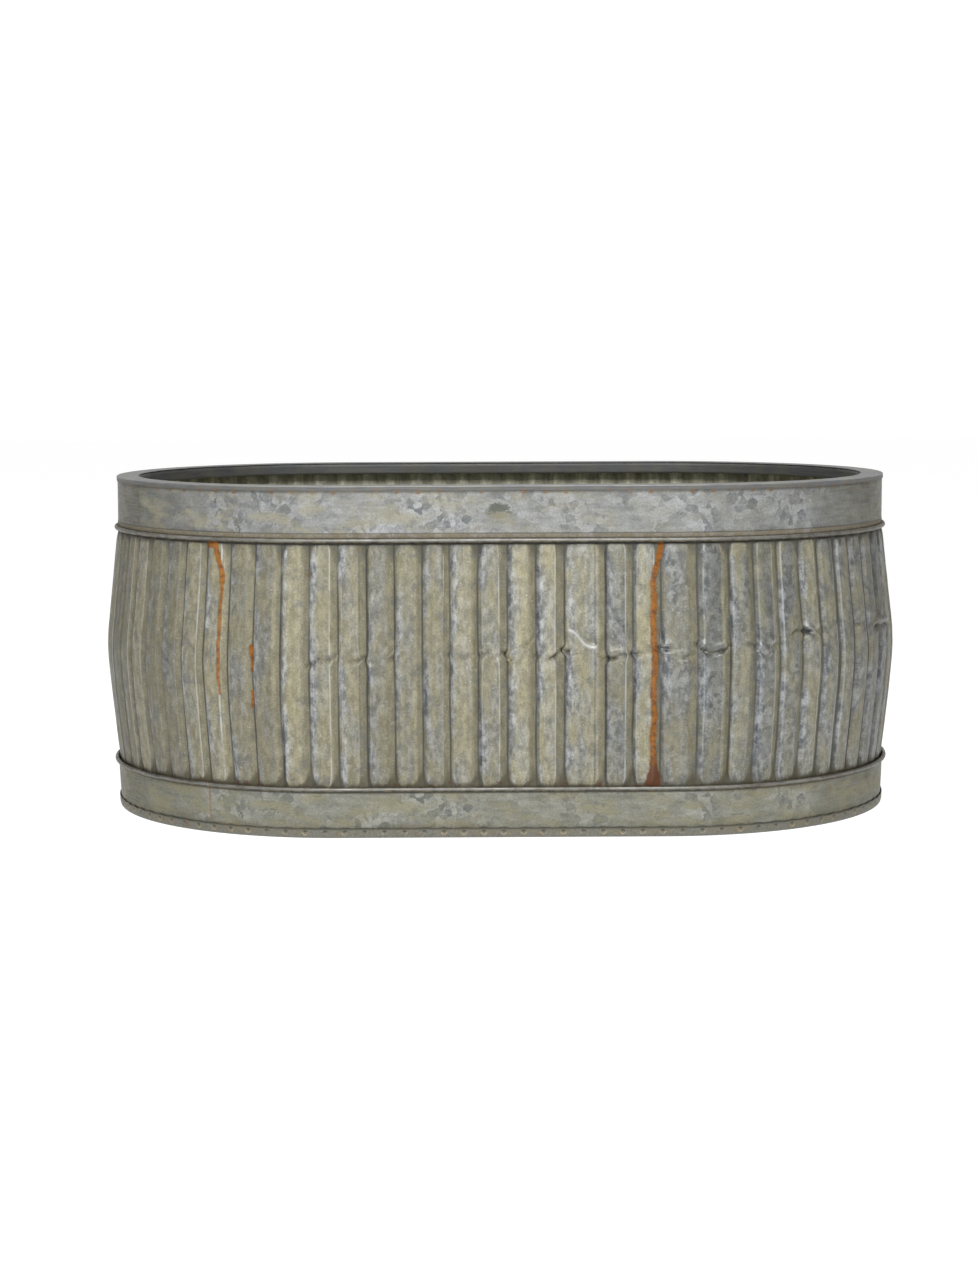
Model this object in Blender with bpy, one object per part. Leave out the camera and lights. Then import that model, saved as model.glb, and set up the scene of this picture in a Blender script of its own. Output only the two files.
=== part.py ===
"""Oval galvanised livestock trough, made of rolled and soldered sheet.

Three fluted wall sheets lap each other around the oval and stand in a floor pan. Two wired bands
hold them, each in a front and a back piece, and a flat rim ring with an inner skirt caps the top.

Lengths are in metres, +X runs along the trough and +Z is up, with the origin under its middle.
A run is a distance along the rim's outer oval, from the middle of the front towards +X.
"""

import math

import bmesh
import bpy
from mathutils import Vector

for old in list(bpy.data.objects):
    bpy.data.objects.remove(old)

# Whole trough
RIM_LENGTH = 1.000
RIM_WIDTH = 0.600
HEIGHT = 0.4286

# Sheet metal
SHEET = 0.0008
GAP = 0.0003
ARC_STEPS = 24

# Fluted wall
FLUTES_PER_SHEET = 26
LAND_SHARE = 0.58
FLANK_SHARE = 0.13
FLUTE_DEPTH = 0.005
LAP_PANEL = 0.034
LAP_SHORT = 0.002
LAP_HIDDEN = 0.006
SOLDER_LEG = 0.0025
FIRST_LAP_RUN = 0.0996
BULGE = 0.0156
BULGE_HEIGHT = 0.208
WALL_FOOT_OFFSET = -0.0008
WALL_LOW_OFFSET = 0.0013
WALL_TOP_OFFSET = -0.0030
BELOW_LOWER_HEM = 0.005
ABOVE_UPPER_HEM = 0.003

# Bands with wired edges
LOWER_BAND_FOOT_OFFSET = 0.0013
LOWER_BAND_TOP_OFFSET = 0.0035
LOWER_HEM_HEIGHT = 0.0600
UPPER_BAND_OFFSET = -(SHEET + GAP)
UPPER_HEM_HEIGHT = 0.3625
HEM_WIRE_RADIUS = 0.0017
HEM_WIRE_SIDES = 8
CURL_TURN = math.radians(290)
CURL_STEPS = 6
TONGUE = 0.009
JOGGLE = 0.0009
LOWER_BAND_LAPS = (-0.369, 0.428)
UPPER_BAND_LAPS = (-0.503, 0.483)

# Rim cap
RIM_RING_WIDTH = 0.029
RIM_LIP = 0.0065
SKIRT_DROP = 0.0155
SKIRT_FLANGE = 0.009

# Floor pan and its solder
PAN_LIP = 0.013
PAN_CORNER = 0.0010
FILLET_HEIGHT = 0.006
FILLET_INNER_OFFSET = -0.012

# Values that follow from the ones above
END_RADIUS = RIM_WIDTH / 2
HALF_STRAIGHT = (RIM_LENGTH - RIM_WIDTH) / 2
ARC = math.pi * END_RADIUS
PERIMETER = 4 * HALF_STRAIGHT + 2 * ARC
LAP_SPACING = PERIMETER / 3
LAP_STEP = SHEET + GAP
FLOOR_TOP = SHEET + GAP
UNDER_RIM = HEIGHT - SHEET - GAP
CURL_INSIDE = HEM_WIRE_RADIUS + GAP
CURL_OUTSIDE = CURL_INSIDE + SHEET
LOWER_BAND_SLOPE = (LOWER_BAND_TOP_OFFSET - LOWER_BAND_FOOT_OFFSET) / (LOWER_HEM_HEIGHT - FLOOR_TOP)
LAP_RUNS = [FIRST_LAP_RUN + lap * LAP_SPACING for lap in (0, 1, -1)]
PITCH = (LAP_SPACING - LAP_PANEL) / (FLUTES_PER_SHEET - LAND_SHARE)
GROOVE = (1 - LAND_SHARE) * PITCH
FLANK = FLANK_SHARE * PITCH
ARC_STEP = ARC / ARC_STEPS

# Heights where the wall bends, with its lands' offset out of the oval there
WALL_LEVELS = (
    (FLOOR_TOP, WALL_FOOT_OFFSET),
    (LOWER_HEM_HEIGHT - BELOW_LOWER_HEM, WALL_LOW_OFFSET),
    (BULGE_HEIGHT, BULGE),
    (UPPER_HEM_HEIGHT + ABOVE_UPPER_HEM, WALL_TOP_OFFSET),
    (UNDER_RIM, WALL_TOP_OFFSET),
)


def on_oval(run, offset, height):
    """The point at a run along the oval, moved out of it by offset."""
    run = (run + PERIMETER / 2) % PERIMETER - PERIMETER / 2
    side = math.copysign(1, run)
    run = abs(run)
    turn = min(max(run - HALF_STRAIGHT, 0), ARC) / END_RADIUS
    out_x = math.sin(turn)
    out_y = -math.cos(turn)
    straight = min(run, HALF_STRAIGHT) - max(run - HALF_STRAIGHT - ARC, 0)
    reach = END_RADIUS + offset
    return Vector((side * (straight + reach * out_x), reach * out_y, height))


def on_facets(run, offset, height):
    """The point on the faceted oval that the hoops follow. Its corners lie on the true oval."""
    run = (run + PERIMETER / 2) % PERIMETER - PERIMETER / 2
    steps = (abs(run) - HALF_STRAIGHT) / ARC_STEP
    if not 0 < steps < ARC_STEPS:
        return on_oval(run, offset, height)
    low = HALF_STRAIGHT + ARC_STEP * math.floor(steps)
    start = on_oval(math.copysign(low, run), offset, height)
    end = on_oval(math.copysign(low + ARC_STEP, run), offset, height)
    return start.lerp(end, steps % 1)


def runs_between(start, end):
    """The runs from start to end, with one at each corner of the arcs' facets."""
    corners = set()
    for step in range(ARC_STEPS + 1):
        corner = HALF_STRAIGHT + ARC_STEP * step
        for turns in (-1, 0, 1):
            corners.add(turns * PERIMETER + corner)
            corners.add(turns * PERIMETER - corner)
    inside = [run for run in sorted(corners) if start + GAP < run < end - GAP]
    return [start, *inside, end]


def finish(mesh_builder, name, material):
    """Make the mesh in the builder a named object."""
    bmesh.ops.recalc_face_normals(mesh_builder, faces=mesh_builder.faces)
    mesh = bpy.data.meshes.new(name)
    mesh_builder.to_mesh(mesh)
    mesh_builder.free()
    mesh.materials.append(material)
    mesh.shade_smooth()
    mesh.set_sharp_from_angle(angle=math.radians(30))
    piece = bpy.data.objects.new(name, mesh)
    bpy.context.scene.collection.objects.link(piece)
    return piece


def metal(name, colour, roughness):
    material = bpy.data.materials.new(name)
    material.use_nodes = True
    shader = material.node_tree.nodes["Principled BSDF"]
    shader.inputs["Base Color"].default_value = (*colour, 1)
    shader.inputs["Roughness"].default_value = roughness
    shader.inputs["Metallic"].default_value = 1
    return material


def bridge(mesh_builder, first, second, closed=True):
    """Quads between two rows of vertices."""
    count = len(first)
    for i in range(count if closed else count - 1):
        j = (i + 1) % count
        mesh_builder.faces.new((first[i], first[j], second[j], second[i]))


def ring_of(mesh_builder, section, run):
    """A section of offsets and heights, set across the oval at a run."""
    return [mesh_builder.verts.new(on_facets(run, offset, height)) for offset, height in section]


def hoop(name, section, start, end, material, tongue_corners=None):
    """A section swept along the oval from start to end.

    tongue_corners are the section's four corners that carry on past both ends as lap tongues.
    """
    mesh_builder = bmesh.new()
    rings = [ring_of(mesh_builder, section, run) for run in runs_between(start, end)]
    for first, second in zip(rings, rings[1:]):
        bridge(mesh_builder, first, second)
    for ring, run, way in ((rings[0], start, -1), (rings[-1], end, 1)):
        if tongue_corners is None:
            mesh_builder.faces.new(ring)
        else:
            add_tongue(mesh_builder, section, ring, tongue_corners, run, way)
    return finish(mesh_builder, name, material)


def add_tongue(mesh_builder, section, ring, corners, run, way):
    """The flat part of a band's end, joggled inwards to lie under the next band."""
    _, outer_low, inner_low, _ = corners
    mesh_builder.faces.new(ring[outer_low:inner_low + 1])
    strip = [ring[corner] for corner in corners]
    inward = [(section[corner][0] - LAP_STEP, section[corner][1]) for corner in corners]
    root = run + way * JOGGLE
    tip = root + way * TONGUE
    for tongue_run in sorted(runs_between(min(root, tip), max(root, tip)), key=lambda at: at * way):
        following = ring_of(mesh_builder, inward, tongue_run)
        bridge(mesh_builder, strip, following)
        strip = following
    mesh_builder.faces.new(strip)


def curled_band(outer_offset, flat_end_offset, flat_end, hem_height):
    """The section of a band whose edge curls outwards around a wire.

    The section starts at the flat edge's outer corner, so the flat strip's corners are the first,
    the second, the one after the curl and the last.
    """
    up = math.copysign(1, flat_end - hem_height)
    centre = outer_offset + CURL_INSIDE
    angles = [math.pi + CURL_TURN * step / CURL_STEPS for step in range(CURL_STEPS + 1)]
    inside = [curl_point(centre, hem_height, CURL_INSIDE, angle, up) for angle in angles]
    outside = [curl_point(centre, hem_height, CURL_OUTSIDE, angle, up) for angle in angles]
    section = [(flat_end_offset, flat_end)]
    section += inside
    section += reversed(outside)
    section.append((flat_end_offset - SHEET, flat_end))
    corners = (0, 1, len(section) - 2, len(section) - 1)
    return section, corners


def curl_point(centre, hem_height, radius, angle, up):
    return centre + radius * math.cos(angle), hem_height + up * radius * math.sin(angle)


def wire_section(centre, hem_height):
    section = []
    for side in range(HEM_WIRE_SIDES):
        angle = 2 * math.pi * side / HEM_WIRE_SIDES
        section.append((centre + HEM_WIRE_RADIUS * math.cos(angle),
                        hem_height + HEM_WIRE_RADIUS * math.sin(angle)))
    return section


def flute_outline(start):
    """A wall sheet's outer face around the oval, as runs and depths.

    The sheet starts under the sheet before it, and ends over the one after it.
    """
    outline = [(start - LAP_PANEL / 2 + LAP_HIDDEN, -LAP_STEP)]
    run = start + LAP_PANEL / 2
    outline.append((run, -LAP_STEP))
    for _ in range(FLUTES_PER_SHEET):
        outline.append((run + FLANK, -FLUTE_DEPTH))
        outline.append((run + GROOVE - FLANK, -FLUTE_DEPTH))
        outline.append((run + GROOVE, 0))
        run += PITCH
        outline.append((run, 0))
    outline[-1] = (start + LAP_SPACING + LAP_PANEL / 2 - LAP_SHORT, 0)
    return outline


def inner_face(outline):
    """The outline's inner face, one sheet thickness in from the outer one, with mitred corners."""
    points = [Vector(point) for point in outline]
    normals = []
    for first, second in zip(points, points[1:]):
        along = (second - first).normalized()
        normals.append(Vector((along.y, -along.x)))
    inner = []
    for i, point in enumerate(points):
        before = normals[max(i - 1, 0)]
        after = normals[min(i, len(normals) - 1)]
        inner.append(tuple(point + SHEET * (before + after) / (1 + before.dot(after))))
    return inner


def wall_offset(height):
    """How far the wall's lands stand out of the oval at a height."""
    for (low, low_offset), (high, high_offset) in zip(WALL_LEVELS, WALL_LEVELS[1:]):
        if height <= high:
            return low_offset + (high_offset - low_offset) * (height - low) / (high - low)
    return WALL_TOP_OFFSET


def wall_row(mesh_builder, outline, height):
    offset = wall_offset(height)
    return [mesh_builder.verts.new(on_oval(run, offset + depth, height)) for run, depth in outline]


def wall_sheet(name, start, material):
    outer = flute_outline(start)
    inner = inner_face(outer)
    mesh_builder = bmesh.new()
    rows = []
    for height, _ in WALL_LEVELS:
        rows.append((wall_row(mesh_builder, outer, height), wall_row(mesh_builder, inner, height)))
    for (outer_low, inner_low), (outer_high, inner_high) in zip(rows, rows[1:]):
        bridge(mesh_builder, outer_low, outer_high, closed=False)
        bridge(mesh_builder, inner_low, inner_high, closed=False)
        for edge in (0, -1):
            mesh_builder.faces.new((outer_low[edge], outer_high[edge], inner_high[edge], inner_low[edge]))
    for outer_row, inner_row in (rows[0], rows[-1]):
        bridge(mesh_builder, outer_row, inner_row, closed=False)
    return finish(mesh_builder, name, material)


def lap_solder(name, start, material):
    """The solder in the corner where the inner sheet's edge lies on the outer sheet, inside the trough."""
    edge = flute_outline(start)[0][0] - GAP
    face = -SHEET - GAP
    corner = [(edge, face), (edge, face - SHEET), (edge - SOLDER_LEG, face)]
    mesh_builder = bmesh.new()
    heights = [FLOOR_TOP + FILLET_HEIGHT + GAP]
    heights += [height for height, _ in WALL_LEVELS[1:]]
    rows = [wall_row(mesh_builder, corner, height) for height in heights]
    for low, high in zip(rows, rows[1:]):
        bridge(mesh_builder, low, high)
    mesh_builder.faces.new(rows[0])
    mesh_builder.faces.new(rows[-1])
    return finish(mesh_builder, name, material)


def floor_solder(material):
    """The fillet that fills the flutes' feet and seals the wall to the floor."""
    outline = []
    for lap_run in sorted(LAP_RUNS):
        inner = inner_face(flute_outline(lap_run))
        next_edge = inner[0][0] + LAP_SPACING
        outline += [point for point in inner if point[0] < next_edge - GAP]
        outline.append((next_edge - GAP, inner[-1][1]))
    mesh_builder = bmesh.new()
    foot = wall_offset(FLOOR_TOP)
    rows = []
    for height in (FLOOR_TOP, FLOOR_TOP + FILLET_HEIGHT):
        row = [mesh_builder.verts.new(on_oval(run, foot + depth - GAP, height)) for run, depth in outline]
        rows.append(row)
    rows.append([mesh_builder.verts.new(on_oval(run, FILLET_INNER_OFFSET, FLOOR_TOP)) for run, _ in outline])
    for first, second in zip(rows, [*rows[1:], rows[0]]):
        bridge(mesh_builder, first, second)
    return finish(mesh_builder, "floor_solder", material)


def floor_pan(material):
    """A flat floor with an upturned lip around the lower bands' feet."""
    foot = LOWER_BAND_FOOT_OFFSET + GAP
    lip_lean = LOWER_BAND_SLOPE * PAN_LIP
    profile = (
        (foot, SHEET),
        (foot + lip_lean, PAN_LIP),
        (foot + lip_lean + SHEET, PAN_LIP),
        (foot + SHEET, PAN_CORNER),
        (foot + SHEET - PAN_CORNER, 0),
    )
    mesh_builder = bmesh.new()
    around = runs_between(-PERIMETER / 2, PERIMETER / 2)[:-1]
    rows = []
    for offset, height in profile:
        rows.append([mesh_builder.verts.new(on_facets(run, offset, height)) for run in around])
    for first, second in zip(rows, rows[1:]):
        bridge(mesh_builder, first, second)
    mesh_builder.faces.new(rows[0])
    mesh_builder.faces.new(rows[-1])
    return finish(mesh_builder, "floor_pan", material)


def nearest_groove(run):
    """The run of the middle of the groove nearest to a run."""
    middles = []
    for lap_run in LAP_RUNS:
        first = lap_run + (LAP_PANEL + GROOVE) / 2
        middles += [first + flute * PITCH for flute in range(FLUTES_PER_SHEET)]
    return min(middles, key=lambda middle: abs(middle - run))


def wired_bands(level, section, corners, centre, hem_height, lap_runs, sheet, wire):
    """A front and a back band with a wire in each, meeting where the back's tongues lie in grooves."""
    left, right = (nearest_groove(run) for run in lap_runs)
    front = left - TONGUE / 2 - GAP, right + TONGUE / 2 + GAP
    back = front[1] + GAP + JOGGLE, front[0] + PERIMETER - GAP - JOGGLE
    hoop(f"{level}_band_front", section, *front, sheet)
    hoop(f"{level}_band_back", section, *back, sheet, corners)
    round_wire = wire_section(centre, hem_height)
    hoop(f"{level}_hem_wire_front", round_wire, *front, wire)
    hoop(f"{level}_hem_wire_back", round_wire, *back, wire)


def rim_cap(sheet):
    """The flat ring with its outer lip, and the skirt under its inner edge, each in two halves."""
    ring = (
        (-RIM_RING_WIDTH, HEIGHT - SHEET),
        (-RIM_RING_WIDTH, HEIGHT),
        (-SHEET, HEIGHT),
        (0, HEIGHT - SHEET),
        (0, HEIGHT - RIM_LIP),
        (-SHEET, HEIGHT - RIM_LIP),
        (-SHEET, HEIGHT - SHEET),
    )
    inner = -RIM_RING_WIDTH
    skirt = (
        (inner, UNDER_RIM),
        (inner, HEIGHT - SKIRT_DROP),
        (inner + SHEET, HEIGHT - SKIRT_DROP),
        (inner + SHEET, UNDER_RIM - SHEET),
        (inner + SKIRT_FLANGE, UNDER_RIM - SHEET),
        (inner + SKIRT_FLANGE, UNDER_RIM),
    )
    halves = {"left": (-PERIMETER / 2, 0), "right": (0, PERIMETER / 2)}
    for side, (start, end) in halves.items():
        hoop(f"rim_ring_{side}", ring, start + GAP / 2, end - GAP / 2, sheet)
        hoop(f"inner_skirt_{side}", skirt, start + GAP / 2, end - GAP / 2, sheet)


wall_metal = metal("fluted_galvanised", (0.30, 0.30, 0.26), 0.50)
band_metal = metal("band_galvanised", (0.33, 0.34, 0.33), 0.42)
rim_metal = metal("rim_galvanised", (0.28, 0.28, 0.28), 0.38)
floor_metal = metal("floor_galvanised", (0.26, 0.26, 0.24), 0.55)
wire_metal = metal("wire_steel", (0.35, 0.33, 0.31), 0.45)
solder_metal = metal("solder", (0.42, 0.42, 0.41), 0.40)

floor_pan(floor_metal)
floor_solder(solder_metal)
for lap_run, sheet_side, lap_side in zip(LAP_RUNS, ("right", "back", "left"), ("front", "right", "left")):
    wall_sheet(f"wall_sheet_{sheet_side}", lap_run, wall_metal)
    lap_solder(f"lap_solder_{lap_side}", lap_run, solder_metal)

lower, lower_corners = curled_band(
    LOWER_BAND_TOP_OFFSET, LOWER_BAND_FOOT_OFFSET, FLOOR_TOP, LOWER_HEM_HEIGHT)
upper, upper_corners = curled_band(
    UPPER_BAND_OFFSET, UPPER_BAND_OFFSET, UNDER_RIM, UPPER_HEM_HEIGHT)
wired_bands("lower", lower, lower_corners, LOWER_BAND_TOP_OFFSET + CURL_INSIDE, LOWER_HEM_HEIGHT,
            LOWER_BAND_LAPS, band_metal, wire_metal)
wired_bands("upper", upper, upper_corners, UPPER_BAND_OFFSET + CURL_INSIDE, UPPER_HEM_HEIGHT,
            UPPER_BAND_LAPS, band_metal, wire_metal)
rim_cap(rim_metal)
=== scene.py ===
"""Looks of the oval galvanised trough: folded sheet with wear, patina and rust, and some painted shade and
highlights, around the CAD frame.

Lengths are in metres, +X runs along the trough and +Z is up. A run is a distance along the rim's outer
oval, from the middle of the front towards +X. An offset is a distance outwards from that oval.
"""

import math

import bpy
import numpy as np
from mathutils import Matrix, Vector


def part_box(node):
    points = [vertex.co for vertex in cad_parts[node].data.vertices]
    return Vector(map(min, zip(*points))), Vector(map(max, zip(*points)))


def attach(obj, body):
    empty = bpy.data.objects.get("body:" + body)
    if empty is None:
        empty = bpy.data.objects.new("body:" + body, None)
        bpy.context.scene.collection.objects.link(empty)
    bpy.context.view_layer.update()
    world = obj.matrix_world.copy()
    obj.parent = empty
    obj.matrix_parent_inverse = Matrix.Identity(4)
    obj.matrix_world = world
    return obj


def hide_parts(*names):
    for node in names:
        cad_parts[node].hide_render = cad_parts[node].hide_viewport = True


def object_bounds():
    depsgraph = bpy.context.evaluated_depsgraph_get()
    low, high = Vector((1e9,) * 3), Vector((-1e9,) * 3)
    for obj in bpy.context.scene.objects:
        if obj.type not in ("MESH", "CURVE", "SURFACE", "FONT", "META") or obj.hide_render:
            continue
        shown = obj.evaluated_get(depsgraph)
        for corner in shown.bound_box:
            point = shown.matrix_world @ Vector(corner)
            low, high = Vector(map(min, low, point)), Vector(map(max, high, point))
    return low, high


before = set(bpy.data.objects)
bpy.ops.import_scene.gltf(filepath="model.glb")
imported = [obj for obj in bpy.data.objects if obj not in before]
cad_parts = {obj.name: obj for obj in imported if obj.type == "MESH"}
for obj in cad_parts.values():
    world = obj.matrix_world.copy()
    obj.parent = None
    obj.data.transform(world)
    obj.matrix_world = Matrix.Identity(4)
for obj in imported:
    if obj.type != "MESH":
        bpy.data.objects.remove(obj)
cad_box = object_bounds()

# ---- sizes taken from the frame
ring_low, ring_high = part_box("rim_ring_right")
skirt_low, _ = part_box("inner_skirt_right")
_, pan_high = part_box("floor_pan")
lower_low, lower_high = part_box("lower_band_front")
upper_low, upper_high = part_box("upper_band_front")
_, solder_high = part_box("floor_solder")

HEIGHT = ring_high.z
RIM_LIP = HEIGHT - ring_low.z
SKIRT_DROP = HEIGHT - skirt_low.z
PAN_LIP = pan_high.z
END_RADIUS = ring_high.y
HALF_STRAIGHT = ring_high.x - END_RADIUS
BULGE = cad_box[1].y - END_RADIUS
ARC = math.pi * END_RADIUS
PERIMETER = 4 * HALF_STRAIGHT + 2 * ARC

# ---- sheet metal, as in the CAD
SHEET = 0.0008
GAP = 0.0003
LAP_STEP = SHEET + GAP
FLOOR_TOP = lower_low.z
UNDER_RIM = upper_high.z
CURL_INSIDE = 0.0020
CURL_OUTSIDE = CURL_INSIDE + SHEET
CURL_TURN = math.radians(290)
LOWER_HEM_HEIGHT = lower_high.z - CURL_OUTSIDE
UPPER_HEM_HEIGHT = upper_low.z + CURL_OUTSIDE
WALL_FOOT = LOWER_HEM_HEIGHT + CURL_OUTSIDE
WALL_HEAD = UPPER_HEM_HEIGHT - CURL_OUTSIDE
LIP_FOOT = HEIGHT - RIM_LIP
LOWER_BAND_FOOT_OFFSET = 0.0013
LOWER_BAND_TOP_OFFSET = 0.0035
UPPER_BAND_OFFSET = -LAP_STEP
RIM_RING_WIDTH = 0.029
SKIRT_FLANGE = 0.009
TONGUE = 0.009
LOWER_BAND_LAPS = (-0.369, 0.428)
UPPER_BAND_LAPS = (-0.503, 0.483)

# ---- how finely the hoops are drawn, and how much they waver
BAND_STEP = 0.005
TONGUE_STEP = 0.001
BAND_WAVE = 0.00030
SHARP_FOLD = math.radians(50)
SHARP_SOLDER = math.radians(60)

# ---- fluted wall
FLUTES_PER_SHEET = 26
LAND_SHARE = 0.58
FLANK_SHARE = 0.13
FLUTE_DEPTH = 0.0060
LAP_PANEL = 0.034
LAP_SHORT = 0.002
LAP_HIDDEN = 0.006
FIRST_LAP_RUN = 0.0996
LAP_SPACING = PERIMETER / 3
PITCH = (LAP_SPACING - LAP_PANEL) / (FLUTES_PER_SHEET - LAND_SHARE)
GROOVE = (1 - LAND_SHARE) * PITCH
FLANK = FLANK_SHARE * PITCH
CREASE = 0.0007
SHEET_STARTS = {"right": 0, "back": 1, "left": -1}

# How the lands stand out of the oval, by height
WALL_PROFILE = (
    (FLOOR_TOP, -0.0008),
    (0.055, 0.0010),
    (0.068, 0.0022),
    (0.078, 0.0035),
    (0.147, 0.0109),
    (0.190, 0.0146),
    (0.208, 0.0153),
    (0.228, 0.0146),
    (0.265, 0.0103),
    (0.321, 0.0041),
    (0.349, 0.0012),
    (0.3575, -0.0008),
    (0.3625, -0.0026),
    (0.370, -0.0030),
    (UNDER_RIM, -0.0030),
)
# How far the hand-rolled flutes drift along the wall from even spacing, by run
DRIFT = (
    (-0.78, 0.0),
    (-0.50, -0.008),
    (0.00, -0.006),
    (0.20, -0.003),
    (0.24, 0.012),
    (0.36, 0.009),
    (0.47, 0.003),
    (0.60, 0.0),
)
STEP_RUN = 0.0030
STEP_DEPTH = 0.40
LAND_CROWN = 0.10
NOSE_LENGTH = 0.016
NOSE_PINCH = 0.0042
HIDDEN_DEPTH_SHARE = 0.32
KINK_HEIGHT = 0.226
KINK_SCATTER = 0.0055
KINK_PINCH = 0.0056
KINK_SWELL = 0.0026
KINK_SHIFT = 0.0046
SMALLEST_KINK = 0.32
UNKINKED = (-0.70, -0.24)
PANEL_CREASE_HEIGHT = 0.252
PANEL_CREASE_SLANT = 0.011
SPOT_PITCH = 0.0254
DIMPLE_PITCH = 0.0242
DIMPLE_HEIGHT = 0.0072


# ---- shapes
def on_oval(run, offset, height):
    """Points at runs along the oval, moved out of it by offset. The arguments are arrays of one shape."""
    run, offset, height = np.broadcast_arrays(run, offset, height)
    run = (run + PERIMETER / 2) % PERIMETER - PERIMETER / 2
    side = np.where(run < 0, -1.0, 1.0)
    run = np.abs(run)
    turn = np.clip(run - HALF_STRAIGHT, 0, ARC) / END_RADIUS
    straight = np.minimum(run, HALF_STRAIGHT) - np.maximum(run - HALF_STRAIGHT - ARC, 0)
    reach = END_RADIUS + offset
    return np.stack((side * (straight + reach * np.sin(turn)), -reach * np.cos(turn), height), axis=-1)


def smooth_noise(run, height, run_cell, height_cell, seed):
    """Smooth random values from -1 to 1, with features about a cell long."""
    run, height = np.broadcast_arrays(run, height)
    x = (run + 2) / run_cell
    y = (height + 0.1) / height_cell
    size = (int(5 / run_cell) + 3, int(1 / height_cell) + 3)
    lattice = np.random.default_rng(seed).uniform(-1, 1, size)
    i = np.floor(x).astype(int)
    j = np.floor(y).astype(int)
    fx = x - i
    fy = y - j
    fx = fx * fx * (3 - 2 * fx)
    fy = fy * fy * (3 - 2 * fy)
    low = lattice[i, j] * (1 - fx) + lattice[i + 1, j] * fx
    high = lattice[i, j + 1] * (1 - fx) + lattice[i + 1, j + 1] * fx
    return low * (1 - fy) + high * fy


def waver(run, cell, seed):
    """Smooth random values from -1 to 1 that change along one direction alone."""
    return smooth_noise(run, 0.0, cell, 0.1, seed)


def hump(distance, width):
    """A bell curve of height 1."""
    return np.exp(-(distance / width) ** 2)


def smooth_step(value, low, high):
    share = np.clip((value - low) / (high - low), 0, 1)
    return share * share * (3 - 2 * share)


def grid_normals(points, wrap):
    """Unit normals of a grid of points. They point out where rows go up and columns go along the run."""
    if wrap:
        along = np.roll(points, -1, axis=1) - np.roll(points, 1, axis=1)
    else:
        along = np.gradient(points, axis=1)
    across = np.gradient(points, axis=0)
    normals = np.cross(along, across)
    return normals / np.maximum(np.linalg.norm(normals, axis=-1, keepdims=True), 1e-12)


def sheet_piece(name, points, uv, marks, material, slot, wrap=False, cap=False, missing=None):
    """A closed piece of sheet metal: a grid of points is its outer skin, and a second skin lies under it.

    marks are named arrays, one value a point, for the material. missing is true for the cells left open.
    With wrap, the last column joins the first. With cap, the first row closes over itself.
    """
    rows, columns = points.shape[:2]
    inner = points - grid_normals(points, wrap) * SHEET
    count = rows * columns
    index = np.arange(count).reshape(rows, columns)
    if wrap:
        index = np.concatenate((index, index[:, :1]), axis=1)
    cells = np.stack((index[:-1, :-1], index[:-1, 1:], index[1:, 1:], index[1:, :-1]), axis=-1)
    if missing is not None:
        cells = cells[~missing]
    quads = cells.reshape(-1, 4)
    starts = quads.ravel()
    ends = np.roll(quads, -1, axis=1).ravel()
    open_edge = ~np.isin(starts * count + ends, ends * count + starts)
    if cap:
        open_edge &= ~((starts < columns) & (ends < columns))
    starts = starts[open_edge]
    ends = ends[open_edge]
    sides = np.stack((ends, starts, starts + count, ends + count), axis=-1)
    faces = np.concatenate((quads, quads[:, ::-1] + count, sides)).tolist()
    if cap:
        faces.append(list(range(columns - 1, -1, -1)))
        faces.append(list(range(count, count + columns)))
    used = np.unique(np.concatenate((quads.ravel(), quads.ravel() + count)))
    number = np.full(2 * count, -1)
    number[used] = np.arange(len(used))
    faces = [[int(number[corner]) for corner in face] for face in faces]
    both = np.concatenate((points.reshape(-1, 3), inner.reshape(-1, 3)))[used]

    mesh = bpy.data.meshes.new(name)
    mesh.from_pydata(both.tolist(), [], faces)
    all_marks = {key: (value, value) for key, value in marks.items()}
    all_marks["inside"] = (np.zeros((rows, columns)), np.ones((rows, columns)))
    for key, (outer_value, inner_value) in all_marks.items():
        values = [np.broadcast_to(value, (rows, columns)).ravel() for value in (outer_value, inner_value)]
        attribute = mesh.attributes.new(name=key, type="FLOAT", domain="POINT")
        attribute.data.foreach_set("value", np.concatenate(values)[used].astype(np.float32))
    both_uv = np.concatenate((uv.reshape(-1, 2), uv.reshape(-1, 2)))[used]
    place(mesh, both_uv, material, name, SHARP_FOLD)


def place(mesh, uv, material, node, sharp):
    """Put a mesh in the scene as the look of a CAD node. uv is the run and height of each vertex."""
    corners = np.zeros(len(mesh.loops), dtype=np.int32)
    mesh.loops.foreach_get("vertex_index", corners)
    layer = mesh.uv_layers.new(name="RunHeight")
    layer.data.foreach_set("uv", uv[corners].astype(np.float32).ravel())
    mesh.materials.append(material)
    mesh.shade_smooth()
    mesh.set_sharp_from_angle(angle=sharp)
    piece = bpy.data.objects.new(f"{node}_look", mesh)
    bpy.context.scene.collection.objects.link(piece)
    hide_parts(node)
    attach(piece, "root")


def section_lengths(section):
    """The distance along a section to each of its points."""
    steps = np.linalg.norm(np.diff(section, axis=0), axis=1)
    return np.concatenate(([0.0], np.cumsum(steps)))


# ---- the fluted wall
def wall_heights():
    """Row heights: close together at the fold and at the lands' ends, wide apart behind the bands."""
    stretches = (
        (FLOOR_TOP, 0.052, 0.016),
        (0.052, 0.084, 0.0027),
        (0.084, 0.198, 0.0078),
        (0.198, 0.258, 0.0013),
        (0.258, 0.338, 0.0080),
        (0.338, 0.366, 0.0025),
        (0.366, UNDER_RIM, 0.016),
    )
    heights = []
    for low, high, step in stretches:
        heights.extend(np.linspace(low, high, max(2, round((high - low) / step)), endpoint=False))
    return np.array([*heights, UNDER_RIM])


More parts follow.
